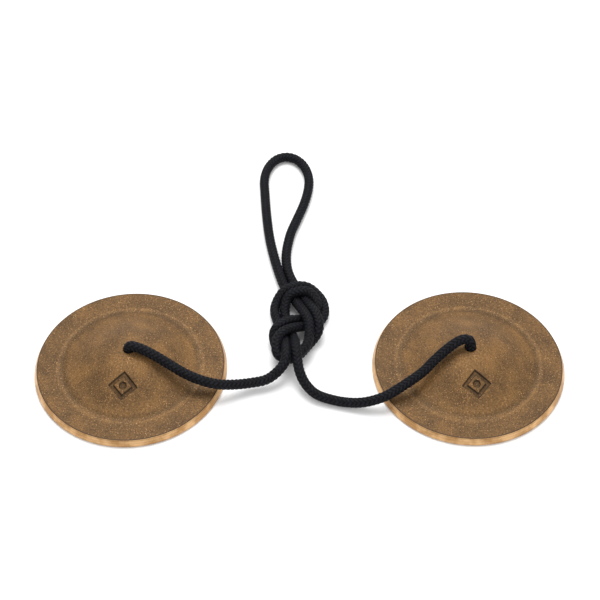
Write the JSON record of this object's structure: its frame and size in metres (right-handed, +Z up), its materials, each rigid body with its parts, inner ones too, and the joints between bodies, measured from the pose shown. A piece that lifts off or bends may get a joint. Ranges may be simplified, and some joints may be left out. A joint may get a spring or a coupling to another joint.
{
  "type": "finger cymbals",
  "caption": "Pair of small cast bronze hand cymbals with raised bells, joined by a black braided cord with a figure-eight knot and a hand loop.",
  "frame": {"origin": "on the table, halfway between the two cymbals", "axes": "+X to the right-hand cymbal, +Y to the hand loop, +Z up"},
  "size_m": [0.175, 0.1316, 0.0159],
  "materials": {
    "cymbal_bronze": "sand-cast face, turned rim",
    "black_cord": "tight braid with a slight sheen"
  },
  "bodies": {
    "lanyard": {"figure_eight_knot": "black_cord", "hand_loop": "black_cord", "left_leg_cord": "black_cord", "right_leg_cord": "black_cord"},
    "left_cord_end": {"left_hole_cord": "black_cord", "left_stopper_knot": "black_cord", "left_cord_tail": "black_cord"},
    "left_cymbal": {"left_cymbal": "cymbal_bronze"},
    "right_cord_end": {"right_hole_cord": "black_cord", "right_stopper_knot": "black_cord", "right_cord_tail": "black_cord"},
    "right_cymbal": {"right_cymbal": "cymbal_bronze"}
  },
  "joints": [
    {"name": "left_tilt", "type": "hinge", "parent": "lanyard", "child": "left_cord_end", "pos_m": [-0.024, 0, 0], "axis": [0, 1, 0], "range_deg": [0, 75], "deforming": ["left_leg_cord"]},
    {"name": "right_tilt", "type": "hinge", "parent": "lanyard", "child": "right_cord_end", "pos_m": [0.024, 0, 0], "axis": [0, -1, 0], "range_deg": [0, 75], "deforming": ["right_leg_cord"]},
    {"name": "left_spin", "type": "hinge", "parent": "left_cord_end", "child": "left_cymbal", "pos_m": [-0.05575, 0, 0], "axis": [0, 0, 1], "continuous": true},
    {"name": "right_spin", "type": "hinge", "parent": "right_cord_end", "child": "right_cymbal", "pos_m": [0.05575, 0, 0], "axis": [0, 0, 1], "continuous": true}
  ]
}
